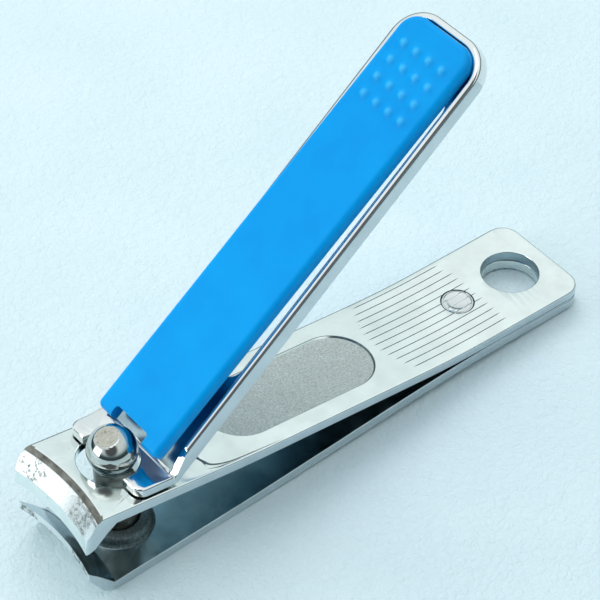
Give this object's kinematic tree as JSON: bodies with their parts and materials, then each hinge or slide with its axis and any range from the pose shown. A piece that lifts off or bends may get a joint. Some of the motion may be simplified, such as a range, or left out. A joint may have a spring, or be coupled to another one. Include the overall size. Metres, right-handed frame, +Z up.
{
  "type": "lever nail clipper",
  "caption": "Fingernail clipper: two bowed chromed leaves with hollow cutting edges, a ball-headed pin through both, and a folding lever with a moulded thumb cover.",
  "frame": {"origin": "on the surface the clipper lies on, under the middle of its length and width", "axes": "+X from the cutting edges towards the tail with the key-ring hole, +Y across, +Z up"},
  "size_m": [0.062, 0.012, 0.0401],
  "materials": {
    "jaw_chrome": "bright chrome, with a sand-blasted thumb recess",
    "rivet_steel": "flush, lightly ringed",
    "pin_chrome": "bright chrome, with a cut matte top",
    "lever_chrome": "bright chrome",
    "blue_plastic": "smooth, semi-gloss moulded azure"
  },
  "bodies": {
    "lower": {"lower_jaw": "jaw_chrome", "tail_rivet": "rivet_steel"},
    "upper": {"upper_jaw": "jaw_chrome"},
    "pin": {"pin": "pin_chrome"},
    "lever": {"lever": "lever_chrome", "lever_cover": "blue_plastic"}
  },
  "joints": [
    {"name": "jaw_close", "type": "hinge", "parent": "lower", "child": "upper", "pos_m": [0.017, 0, 0.00185], "axis": [0, -1, 0], "range_deg": [0, 3.1], "stiffness_Nm_per_rad": 0.3, "springref_deg": -1.72},
    {"name": "pin_swivel", "type": "hinge", "parent": "lower", "child": "pin", "pos_m": [-0.0236, 0, 0], "axis": [0, 0, 1], "range_deg": [-8, 8]},
    {"name": "lever_press", "type": "hinge", "parent": "pin", "child": "lever", "pos_m": [-0.0242, 0, 0.0102], "axis": [0, 1, 0], "range_deg": [0, 32], "stiffness_Nm_per_rad": 0.1, "springref_deg": -5.73}
  ],
  "couplings": [
    {"joint": "jaw_close", "follows": "lever_press", "ratio": 0.0965}
  ]
}
